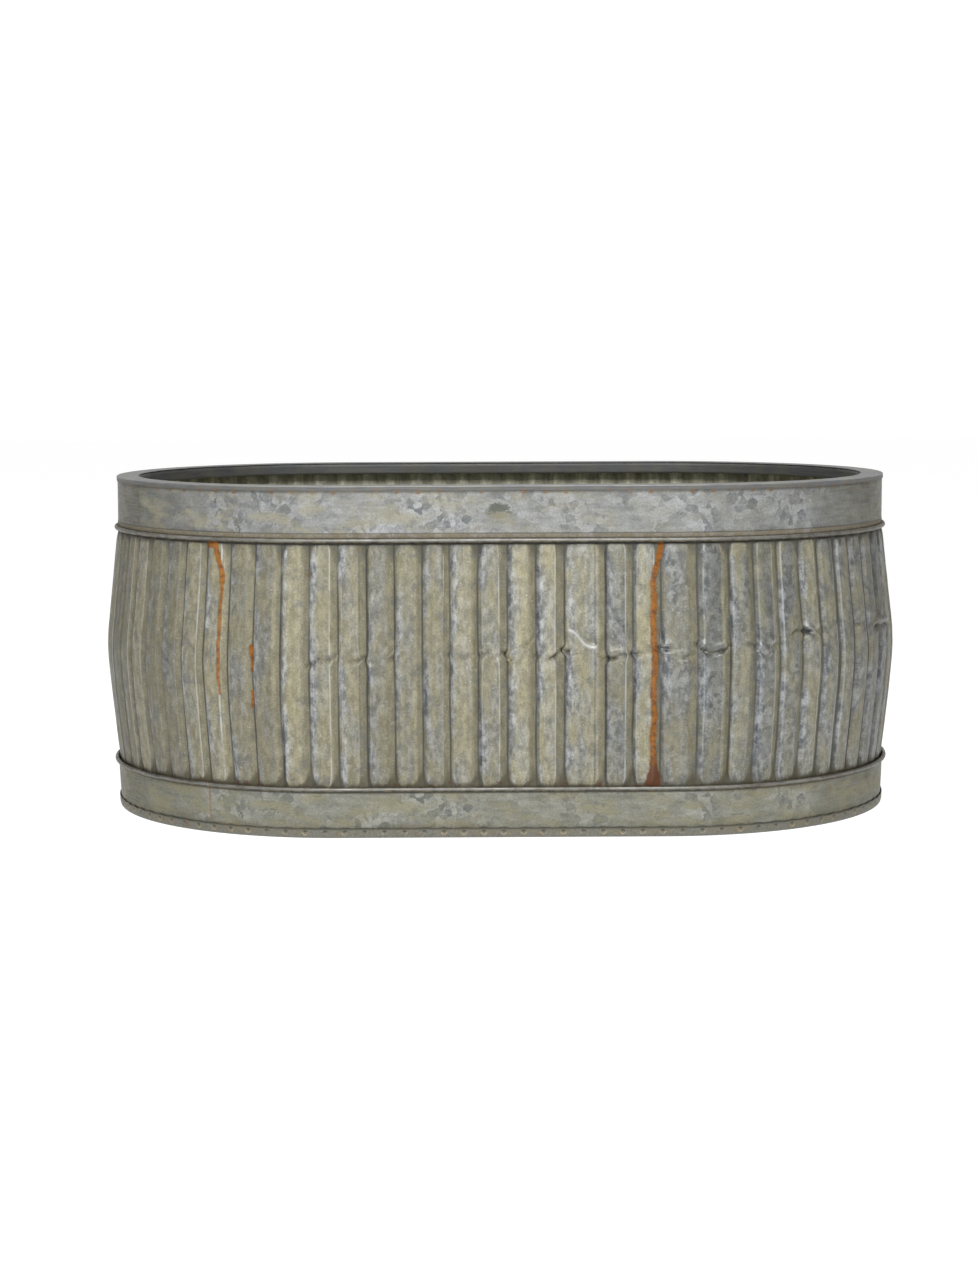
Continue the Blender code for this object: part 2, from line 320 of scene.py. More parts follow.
def land_offset(height):
    """The wall profile, rounded at its bends."""
    levels, offsets = np.array(WALL_PROFILE).T
    spread = np.linspace(-0.005, 0.005, 5)
    total = sum(np.interp(height + shift, levels, offsets) for shift in spread)
    near_band = smooth_step(height, 0.345, 0.355)
    return (1 - near_band) * total / len(spread) + near_band * np.interp(height, levels, offsets)


def nose_share(height):
    """From 0 on the open wall to 1 at a bead and behind it."""
    below_upper = (height - (WALL_HEAD - NOSE_LENGTH)) / NOSE_LENGTH
    above_lower = (WALL_FOOT + NOSE_LENGTH - height) / NOSE_LENGTH
    return np.clip(np.maximum(below_upper, above_lower), 0, 1)


def drifted(run):
    runs, shifts = np.array(DRIFT).T
    return run + np.interp(run, runs, shifts)


def fold_lines(start, heights, rng):
    """The lines along which a wall sheet is folded, as (kind, runs by height).

    From left to right, a flute has the right edge of a land, a step down from it, the valley where the
    sloping groove is deepest, and the left edge of the next land.
    """
    pinch = NOSE_PINCH * (1 - np.sqrt(1 - np.minimum(nose_share(heights), 0.96) ** 2))
    towards_land = {"right_edge": -1, "step": -0.8, "valley": 0.2, "left_edge": 1}
    lines = []
    first = start + LAP_PANEL / 2
    for flute in range(FLUTES_PER_SHEET):
        groove = first + flute * PITCH
        places = {"right_edge": groove, "step": groove + STEP_RUN, "valley": groove + GROOVE - FLANK,
                  "left_edge": groove + GROOVE}
        for kind, run in places.items():
            beside_panel = (flute == 0 and kind == "right_edge") or (
                flute == FLUTES_PER_SHEET - 1 and kind == "left_edge")
            loose = 0.3 if beside_panel else 0.6 if kind == "step" else 1.0
            line = drifted(run) + loose * rng.uniform(-0.0012, 0.0012)
            wobble = 0.0006 * loose * smooth_noise(run, heights, 0.02, 0.045, 11 + len(kind))
            lines.append((kind, line + wobble + towards_land[kind] * pinch))
    return lines


# For each kind of fold line: its depth, how worn it is, and how much dirt and painted shade lie along the
# fold
FOLDS = {
    "right_edge": (LAND_CROWN, 1.0, 0.0),
    "step": (STEP_DEPTH, 0.0, 0.25),
    "valley": (1.0, 0.0, 1.0),
    "left_edge": (LAND_CROWN, 0.85, 0.0),
    "cut_edge": (0.0, 0.0, 0.0),
}
PANEL_SHARES = np.linspace(0.06, 0.94, 17)
# For the facet after each kind of line: how much patina and bare metal it has, and its inner columns
FACETS = {
    "right_edge": (0.75, 0.1, (0.5,)),
    "step": (1.0, 0.0, (0.33, 0.67)),
    "valley": (0.10, 1.0, (0.5,)),
    "left_edge": (0.25, 0.2, (0.14, 0.32, 0.5, 0.68, 0.86)),
    "cut_edge": (0.25, 0.2, PANEL_SHARES),
}


def wall_columns(start, heights, rng):
    """Every column of a wall sheet, as (runs by height, depth share, marks)."""
    under_edge = np.full_like(heights, drifted(start - LAP_PANEL / 2 + LAP_HIDDEN))
    over_edge = np.full_like(heights, drifted(start + LAP_SPACING + LAP_PANEL / 2 - LAP_SHORT))
    stops = [("cut_edge", under_edge), *fold_lines(start, heights, rng), ("cut_edge", over_edge)]
    wear = [rng.uniform(0.0, 1.0) ** 2 for _ in stops]
    columns = []
    for number, ((left_kind, left_run), (right_kind, right_run)) in enumerate(zip(stops, stops[1:])):
        width = right_run - left_run
        left_depth, left_edge, left_crease = FOLDS[left_kind]
        right_depth, right_edge, right_crease = FOLDS[right_kind]
        patina, bare, inner_shares = FACETS[left_kind]
        if right_kind == "cut_edge":
            inner_shares = PANEL_SHARES
        # Each facet gets a random tone. The step facets, which slope away from the key light, get only the
        # lower half of the range: painted shade.
        marks = dict(tone=rng.uniform(0, 0.5 if left_kind == "step" else 1), patina=patina)
        shares = [(CREASE / width, left_edge, left_crease, wear[number])]
        shares += [(share, 0.0, 0.0, wear[number]) for share in inner_shares]
        shares += [(1 - CREASE / width, right_edge, right_crease, wear[number + 1])]
        for share, edge, crease, wear_and_highlight in shares:
            depth = left_depth + (right_depth - left_depth) * share
            if left_kind == "left_edge":
                depth = depth - LAND_CROWN * (1 - (2 * np.mean(share) - 1) ** 2)
            deep = np.mean(depth)
            stripped = 0.85 if left_kind == "left_edge" and np.mean(share) < 0.2 else bare
            columns.append((left_run + width * share, depth,
                            dict(marks, bare=stripped, edge=edge, crease=crease, wear=wear_and_highlight, deep=deep)))
    return columns


def kinks(run, height, folds, rng):
    """Small pinches in the folds where the wall was bent outwards, as moves in offset and run."""
    move_out = np.zeros_like(run)
    move_along = np.zeros_like(run)
    for fold_run in folds:
        size = rng.uniform(0.0, 1.3)
        rise = 0.016 * smooth_step(fold_run, 0.27, 0.36) - 0.012 * smooth_step(fold_run, -0.10, -0.20)
        level = KINK_HEIGHT + rise + rng.normal(0, KINK_SCATTER)
        way = rng.choice((-1.0, 1.0))
        slant = rng.uniform(-0.9, 0.9)
        if size < SMALLEST_KINK or UNKINKED[0] < fold_run < UNKINKED[1]:
            continue
        near = np.abs(run - fold_run) < 0.03
        x = run[near] - fold_run
        y = height[near] - level - slant * x
        pinch = -KINK_PINCH * size * hump(x, 0.0055 + 0.003 * size) * hump(y, 0.0026)
        swell = KINK_SWELL * size * hump(x, 0.0080) * hump(y - 0.0062, 0.0034)
        swell += 0.0014 * size * hump(x, 0.0070) * hump(y + 0.0068, 0.0042)
        move_out[near] += pinch + swell
        move_along[near] += way * KINK_SHIFT * size * hump(x, 0.0070) * hump(y, 0.0046)
    return move_out, move_along


def wall_sheet(side, material):
    """One of the three wall sheets."""
    lap = SHEET_STARTS[side]
    start = FIRST_LAP_RUN + lap * LAP_SPACING
    rng = np.random.default_rng(40 + lap)
    heights = wall_heights()
    columns = wall_columns(start, heights, rng)
    run = np.stack([column[0] for column in columns], axis=1)
    depth_share = np.stack([np.broadcast_to(column[1], heights.shape) for column in columns], axis=1)
    height = np.repeat(heights[:, None], run.shape[1], axis=1)
    marks = {}
    for key in columns[0][2]:
        marks[key] = np.array([column[2][key] for column in columns])[None, :]

    nose = nose_share(height)
    depth = FLUTE_DEPTH * (1 - (1 - HIDDEN_DEPTH_SHARE) * nose ** 2)
    depth = depth * (1 + 0.15 * waver(run, 0.045, 5))
    offset = land_offset(height) - depth * depth_share
    open_wall = 1 - nose
    offset += open_wall * 0.00035 * smooth_noise(run, height, 0.020, 0.060, 3)
    offset += open_wall * 0.00020 * smooth_noise(run, height, 0.006, 0.018, 4)
    folds = [line.mean() for kind, line in fold_lines(start, heights, np.random.default_rng(1))
             if kind in ("right_edge", "left_edge")]
    move_out, move_along = kinks(run, height, folds, rng)
    offset += move_out
    run += move_along
    dent, marks["ridge_and_highlight"] = panel_crease(run, height)
    offset += dent
    lap_edge = drifted(start + LAP_PANEL / 2)
    offset -= LAP_STEP * smooth_step(run, lap_edge + 0.002, lap_edge - 0.0001)
    offset = np.minimum(offset, BULGE - 0.0001)
    points = on_oval(run, offset, height)
    uv = np.stack((run, height), axis=-1)
    sheet_piece(f"wall_sheet_{side}", points, uv, marks, material, "wall_sheet")


def panel_crease(run, height):
    """A long slanting crease across the panel at the front lap: its depth, and how near its ridge is. The
    wall material paints the ridge as a highlight.
    """
    across = (run - drifted(FIRST_LAP_RUN)) / LAP_PANEL
    line = PANEL_CREASE_HEIGHT - PANEL_CREASE_SLANT * np.tanh(4 * across + 0.3)
    on_panel = smooth_step(np.abs(across), 0.56, 0.46)
    ridge_and_highlight = on_panel * hump(height - line + 0.0075, 0.0019)
    valley = on_panel * hump(height - line + 0.0028, 0.0034)
    bulge = on_panel * hump(height - line + 0.0120, 0.0050)
    return 0.0013 * ridge_and_highlight + 0.0007 * bulge - 0.0030 * valley, ridge_and_highlight


# ---- hoops
def hoop_runs(start, end, step):
    return np.linspace(start, end, max(2, round((end - start) / step) + 1))


def curled_section(outer_offset, flat_end_offset, flat_end, hem_height, joggle):
    """A band's outer face from its flat end to the free edge of its curl, as offsets and heights."""
    up = math.copysign(1, flat_end - hem_height)
    steps = np.linspace(0, 1, 14)
    face_heights = flat_end + (hem_height + up * 0.0006 - flat_end) * steps
    share = (face_heights - hem_height) / (flat_end - hem_height)
    face_offsets = outer_offset + (flat_end_offset - outer_offset) * share
    face_offsets = face_offsets + joggle * hump(np.abs(face_heights - hem_height) - 0.0045, 0.003)
    angles = math.pi + CURL_TURN * np.linspace(0, 1, 20)
    centre = outer_offset + CURL_INSIDE
    curl = np.stack((centre + CURL_INSIDE * np.cos(angles),
                     hem_height + up * CURL_INSIDE * np.sin(angles)), axis=1)
    section = np.concatenate((np.stack((face_offsets, face_heights), axis=1), curl))
    curl_share = np.concatenate((np.zeros(len(steps)), np.linspace(0, 1, len(angles))))
    return (section, curl_share) if up < 0 else (section[::-1], curl_share[::-1])


def hoop(name, section, runs, material, slot, shape, curl=0.0, wrap=False, **how):
    """A section swept along the oval.

    shape moves its points: it takes run, offset and height, and returns them. curl is the share of the turn
    around the hem's wire at each point of the section.
    """
    section = np.asarray(section)
    curl = np.broadcast_to(curl, len(section))
    run = np.repeat(runs[None, :], len(section), axis=0)
    offset = np.repeat(section[:, :1], len(runs), axis=1)
    height = np.repeat(section[:, 1:], len(runs), axis=1)
    run, offset, height = shape(run, offset, height)
    points = on_oval(run, offset, height)
    lengths = section_lengths(section)
    uv = np.stack((run, np.repeat(lengths[:, None], len(runs), axis=1)), axis=-1)
    marks = {"level": height, "reach": offset, "curl": np.repeat(curl[:, None], len(runs), axis=1)}
    sheet_piece(name, points, uv, marks, material, slot, wrap=wrap, **how)


def band_waves(seed, size):
    def shape(run, offset, height):
        wave = size * smooth_noise(run, height, 0.09, 0.05, seed)
        wave += 0.35 * size * smooth_noise(run, height, 0.025, 0.02, seed + 1)
        return run, offset + wave, height
    return shape


def nearest_groove(run):
    """The run of the middle of the CAD groove nearest to a run."""
    middles = []
    for lap in SHEET_STARTS.values():
        first = FIRST_LAP_RUN + lap * LAP_SPACING + (LAP_PANEL + GROOVE) / 2
        middles += [first + flute * PITCH for flute in range(FLUTES_PER_SHEET)]
    return min(middles, key=lambda middle: abs(middle - run))


def bands(level, profile, laps, material, seed):
    """A front and a back band. The back band's flat tongues lie under the front band's ends."""
    section, curl = profile
    left, right = (nearest_groove(run) for run in laps)
    front = left - TONGUE / 2, right + TONGUE / 2
    hoop(f"{level}_band_front", section, hoop_runs(*front, BAND_STEP), material, "band_sheet",
         band_waves(seed, BAND_WAVE), curl)
    back = front[1] + 2 * GAP, front[0] + PERIMETER - 2 * GAP
    first_tongue = back[0] - TONGUE, back[0] - TONGUE_STEP
    last_tongue = back[1] + TONGUE_STEP, back[1] + TONGUE
    runs = np.concatenate((first_tongue, hoop_runs(*back, BAND_STEP), last_tongue))
    hem = LOWER_HEM_HEIGHT if level == "lower" else UPPER_HEM_HEIGHT
    flat = (section[:, 1] - hem) * (1 if level == "upper" else -1) > 0.0035
    missing = np.zeros((len(section) - 1, len(runs) - 1), dtype=bool)
    curled_cells = ~(flat[:-1] & flat[1:])
    missing[np.ix_(curled_cells, [0, 1, len(runs) - 3, len(runs) - 2])] = True

    def shape(run, offset, height):
        run, offset, height = band_waves(seed, BAND_WAVE)(run, offset, height)
        tucked = (run < back[0] - TONGUE_STEP / 2) | (run > back[1] + TONGUE_STEP / 2)
        return run, offset - LAP_STEP * tucked, height

    hoop(f"{level}_band_back", section, runs, material, "band_sheet", shape, curl, missing=missing)


def rounded(corner, toward_start, toward_end, radius, steps=5):
    """An arc of a radius that cuts a square corner between two directions."""
    corner = np.array(corner)
    first = np.array(toward_start) * radius
    second = np.array(toward_end) * radius
    angles = np.linspace(0, math.pi / 2, steps)
    centre = corner + first + second
    return [centre - second * math.cos(angle) - first * math.sin(angle) for angle in angles]


def halves(name, section, step, material, shape):
    """A left and a right piece that meet at the middle of the front and of the back."""
    for side, (start, end) in {"left": (-PERIMETER / 2, 0), "right": (0, PERIMETER / 2)}.items():
        runs = hoop_runs(start + GAP / 2, end - GAP / 2, step)
        hoop(f"{name}_{side}", section, runs, material, "rim_sheet", shape)


def rim_ring(material):
    section = [(0.0, level) for level in np.linspace(LIP_FOOT, HEIGHT - 0.0016, 5)]
    section += [tuple(point) for point in rounded((0, HEIGHT), (0, -1), (-1, 0), 0.0014)]
    section += [(inset, HEIGHT) for inset in np.linspace(-0.003, -RIM_RING_WIDTH, 8)]

    def shape(run, offset, height):
        on_lip = smooth_step(height, HEIGHT - 0.0012, HEIGHT - 0.0022)
        beat = (run / SPOT_PITCH + 0.5) % 1 - 0.5
        spot = hump(beat * SPOT_PITCH, 0.0022) * hump(height - LIP_FOOT - 0.0022, 0.0022)
        offset = offset - on_lip * 0.00028 * spot
        offset = offset - on_lip * 0.00015 * (1 + smooth_noise(run, height, 0.03, 0.1, 21))
        edge = smooth_step(height, LIP_FOOT + 0.003, LIP_FOOT)
        height = height + 0.0004 * edge * (1 + waver(run, 0.012, 22))
        sink = smooth_step(offset, -0.003, -0.012)
        height = height - 0.00012 * sink * (1 + smooth_noise(run, offset, 0.05, 0.02, 23))
        return run, offset, height

    halves("rim_ring", section, 0.0028, material, shape)


def inner_skirt(material):
    fold = 0.0008
    face = -RIM_RING_WIDTH + SHEET
    foot = HEIGHT - SKIRT_DROP + fold + SHEET
    ceiling = UNDER_RIM - SHEET
    section = [(face + 2 * fold, foot + 0.0030), (face + 2 * fold, foot)]
    for angle in np.linspace(0, math.pi, 7)[1:]:
        section.append((face + fold + fold * math.cos(angle), foot - fold * math.sin(angle)))
    section += [(face, level) for level in np.linspace(foot + 0.002, ceiling - 0.0012, 5)]
    section += [(face + 0.0006, ceiling - 0.0002), (face + 0.002, ceiling), (face + SKIRT_FLANGE, ceiling)]

    def shape(run, offset, height):
        low = smooth_step(height, ceiling - 0.003, foot)
        return run, offset + 0.0003 * low * smooth_noise(run, height, 0.12, 0.1, 31), height

    halves("inner_skirt", section, 0.006, material, shape)


def floor_pan(material):
    """The flat floor, with a lip peened against the lower band in a row of dimples."""
    lean = (LOWER_BAND_TOP_OFFSET - LOWER_BAND_FOOT_OFFSET) / (LOWER_HEM_HEIGHT - FLOOR_TOP)
    wall_foot = LOWER_BAND_FOOT_OFFSET + GAP + SHEET
    section = [(-END_RADIUS * share, 0.0) for share in (0.998, 0.8, 0.6, 0.4, 0.2, 0.1, 0.05, 0.01)]
    section += [tuple(point) for point in rounded((wall_foot, 0), (-1, 0), (0, 1), 0.0012)]
    section += [(wall_foot + lean * level, level) for level in np.linspace(0.002, PAN_LIP, 9)]

    def shape(run, offset, height):
        on_lip = smooth_step(height, 0.0015, 0.004)
        beat = (run / DIMPLE_PITCH + 0.5) % 1 - 0.5
        dimple = hump(beat * DIMPLE_PITCH, 0.0034) * hump(height - DIMPLE_HEIGHT, 0.0030)
        offset = offset + on_lip * (0.0006 - 0.0011 * dimple)
        top = smooth_step(height, 0.008, PAN_LIP)
        height = height - 0.0011 * top * (1 - hump(beat * DIMPLE_PITCH, 0.006))
        height = height - 0.0004 * top * (1 + waver(run, 0.01, 52))
        floor = smooth_step(offset, -0.004, -0.02)
        height = height + 0.00012 * floor * (1 + smooth_noise(run, offset, 0.07, 0.07, 53))
        return run, offset, height

    runs = hoop_runs(-PERIMETER / 2, PERIMETER / 2, 0.003)[:-1]
    hoop("floor_pan", section, runs, material, "floor_sheet", shape, wrap=True, cap=True)


# ---- solder
def solid_ring(name, rows_run, rows_offset, rows_height, material, wrap):
    """A closed solid from a loop of rows."""
    points = on_oval(rows_run, rows_offset, rows_height)
    count, columns = points.shape[:2]
    mesh = bpy.data.meshes.new(name)
    faces = []
    last = columns if wrap else columns - 1
    for row in range(count):
        for column in range(last):
            after = (column + 1) % columns
            below = (row + 1) % count
            faces.append((row * columns + column, row * columns + after, below * columns + after,
                          below * columns + column))
    if not wrap:
        faces.append([row * columns for row in range(count)])
        faces.append([row * columns + columns - 1 for row in range(count - 1, -1, -1)])
    mesh.from_pydata(points.reshape(-1, 3).tolist(), [], faces)
    uv = np.stack((rows_run, rows_height + rows_offset), axis=-1).reshape(-1, 2)
    place(mesh, uv, material, name, SHARP_SOLDER)


def floor_solder(material):
    """The lumpy fillet that seals the wall's feet to the floor."""
    runs = hoop_runs(-PERIMETER / 2, PERIMETER / 2, 0.004)[:-1]
    foot = land_offset(np.array(FLOOR_TOP)) - SHEET - 0.0022
    lumps = waver(runs, 0.011, 61)
    top = FLOOR_TOP + 0.0060 + 0.0010 * lumps
    toe = -0.0125 - 0.0012 * waver(runs, 0.017, 62)
    base = np.full_like(runs, FLOOR_TOP)
    rows = (
        (np.full_like(runs, foot), base),
        (np.full_like(runs, foot), top),
        (foot * 0.75 + toe * 0.25, base + 0.0040 + 0.0006 * lumps),
        (foot * 0.45 + toe * 0.55, base + 0.0018 + 0.0004 * lumps),
        (toe, base),
    )
    offsets = np.stack([row[0] for row in rows])
    heights = np.stack([row[1] for row in rows])
    solid_ring("floor_solder", np.repeat(runs[None, ::-1], len(rows), axis=0), offsets[:, ::-1],
               heights[:, ::-1], material, wrap=True)


def lap_solder(lap_side, lap, material):
    """A rippled run of solder along a lap, inside the trough."""
    start = FIRST_LAP_RUN + lap * LAP_SPACING
    edge = drifted(start - LAP_PANEL / 2 + LAP_HIDDEN)
    heights = np.linspace(solder_high.z + GAP, UNDER_RIM - SHEET - GAP, 130)
    face = land_offset(heights) - SHEET - GAP
    ripple = 0.0002 * waver(heights, 0.006, 71)
    leg = 0.0034 + 0.0006 * waver(heights, 0.012, 72)
    rows = (
        (edge + 0.0018 + 0 * leg, face - LAP_STEP),
        (edge - 0.0003 + 0 * leg, face - LAP_STEP - 0.0007 + ripple),
        (edge - leg * 0.5, face - LAP_STEP * 0.8 - 0.0003 + ripple),
        (edge - leg, face),
        (edge - 0.0003 + 0 * leg, face),
    )
    runs = np.stack([row[0] for row in rows])
    offsets = np.stack([row[1] for row in rows])
    solid_ring(f"lap_solder_{lap_side}", runs, offsets, np.repeat(heights[None, :], len(rows), axis=0),
               material, wrap=False)


# ---- materials
class Value:
    """A socket of a material's nodes. Arithmetic adds nodes, for vectors where one side is a tuple."""

    def __init__(self, socket):
        self.socket = socket

    def __add__(self, other):
        return calculate("ADD", self, other)

    def __sub__(self, other):
        return calculate("SUBTRACT", self, other)

    def __rsub__(self, other):
        return calculate("SUBTRACT", other, self)

    def __mul__(self, other):
        return calculate("MULTIPLY", self, other)

    def __truediv__(self, other):
        return calculate("DIVIDE", self, other)

    def __abs__(self):
        return calculate("ABSOLUTE", self)


def connect(value, socket):
    if isinstance(value, Value):
        socket.id_data.links.new(value.socket, socket)
    else:
        socket.default_value = value


def built(kind, inputs, output=0, **settings):
    """The output of a new node with these inputs, beside the nodes of the values in them."""
    tree = next(value.socket.id_data for value in inputs.values() if isinstance(value, Value))
    node = tree.nodes.new(kind)
    for key, value in settings.items():
        setattr(node, key, value)
    for key, value in inputs.items():
        connect(value, node.inputs[key])
    return Value(node.outputs[output])


def calculate(operation, *values):
    of_vectors = any(isinstance(value, tuple) for value in values)
    kind = "ShaderNodeVectorMath" if of_vectors else "ShaderNodeMath"
    return built(kind, dict(enumerate(values)), operation=operation)


def most(first, *others):
    for other in others:
        first = calculate("MAXIMUM", first, other)
    return first


def part(vector, axis):
    return built("ShaderNodeSeparateXYZ", {"Vector": vector}, axis)


def span(value, low, high, to_low=0.0, to_high=1.0):
    """Maps a value from one range to another, clamped, with soft ends."""
    inputs = {"Value": value, "From Min": low, "From Max": high, "To Min": to_low, "To Max": to_high}
    return built("ShaderNodeMapRange", inputs, "Result", interpolation_type="SMOOTHSTEP")


def mix(share, first, second, blend="MIX"):
    first, second = ((*value, 1.0) if isinstance(value, tuple) else value for value in (first, second))
    return built("ShaderNodeMix", {0: share, 6: first, 7: second}, 2, data_type="RGBA", blend_type=blend,
                 clamp_factor=True)


def tinted(colour, tint):
    return mix(1.0, colour, tint, "MULTIPLY")


def ramp(value, low, high, first, second):
    """A colour that changes from the first to the second as a value rises from low to high."""
    return mix(span(value, low, high), first, second)


def noise(vector, size, detail=4.0, roughness=0.55, output="Fac"):
    """Noise with features of a size in metres."""
    inputs = {"Vector": vector, "Scale": 1 / size, "Detail": detail, "Roughness": roughness}
    return built("ShaderNodeTexNoise", inputs, output, noise_dimensions="3D")


def warped(vector, size, amount):
    """The vector, pushed about by noise."""
    push = (noise(vector, size, 2.0, 0.5, "Color") + (-0.5, -0.5, -0.5)) * (amount, amount, amount)
    return built("ShaderNodeVectorMath", {0: vector, 1: push}, operation="ADD")


def spangle(vector, size):
    """A random value for each zinc crystal."""
    crystals = built("ShaderNodeTexVoronoi", {"Vector": vector, "Scale": 1 / size}, "Color", feature="F1")
    return built("ShaderNodeSeparateColor", {"Color": crystals}, "Red")


class Shade:
    """A new material, and the values that its node arithmetic starts from."""

    def __init__(self, name):
        self.material = bpy.data.materials.new(name)
        self.material.use_nodes = True
        self.shader = self.material.node_tree.nodes["Principled BSDF"]

    def source(self, kind, output, **settings):
        node = self.material.node_tree.nodes.new(kind)
        for key, value in settings.items():
            setattr(node, key, value)
        return Value(node.outputs[output])

    def mark(self, name):
        return self.source("ShaderNodeAttribute", "Fac", attribute_name=name)

    def run_height(self):
        return self.source("ShaderNodeUVMap", "UV", uv_map="RunHeight")

    def place(self):
        return self.source("ShaderNodeTexCoord", "Object")

    def finish(self, colour, roughness, metallic, bump, bump_height):
        relief = {"Distance": bump_height, "Strength": 1.0, "Height": bump}
        inputs = {"Base Color": colour, "Roughness": roughness, "Metallic": metallic,
                  "Normal": built("ShaderNodeBump", relief, "Normal")}
        for key, value in inputs.items():
            connect(value, self.shader.inputs[key])
        return self.material


def rust_run(place_at, height, at, top, foot, width, foot_width, sway=0.0012, hook=0.0):
    """How much rust there is on a stain that ran down at a run, between two heights.

    It starts a hook's length to the side, and comes back in its first few centimetres.
    """
    vertical = built("ShaderNodeCombineXYZ", {"X": at * 50, "Y": height, "Z": 0.0}, "Vector")
    wander = (noise(vertical, 0.035, 3.0) - 0.5) * (sway * 4)
    hooked = span(height, top - 0.045, top + 0.004, 0.0, hook)
    middle = wander + hooked + at
    distance = abs(place_at - middle)
    swell = span(height, foot + 0.035, foot + 0.003, width, foot_width)
    ragged = noise(vertical, 0.006, 3.0) * swell
    half_width = swell * 0.35 + ragged * 0.65
    body = span(half_width - distance, -0.0016, 0.0008)
    ends = span(height, foot - 0.003, foot) * span(height, top + 0.002, top)
    return body * ends


# Rust runs on the wall: run, top, foot, half widths at the top and the foot, sway, and hook to the side
WALL_RUST = (
    (0.1815, WALL_HEAD, WALL_FOOT, 0.0052, 0.0125, 0.0020, 0.010),
    (-0.3455, WALL_HEAD, 0.3100, 0.0050, 0.0042, 0.0012, -0.012),
    (-0.3640, WALL_HEAD, 0.3530, 0.0120, 0.0100, 0.0010, 0.0),
    (-0.3455, 0.3250, 0.1750, 0.0024, 0.0016, 0.0012, 0.0),
    (-0.3020, 0.2360, 0.2050, 0.0042, 0.0030, 0.0030, 0.0),
    (-0.3030, 0.1800, 0.1600, 0.0028, 0.0020, 0.0030, 0.0),
)
# A rusty seam runs down the lower band here, and over the pan's lip
RUSTY_SEAM = -0.4068


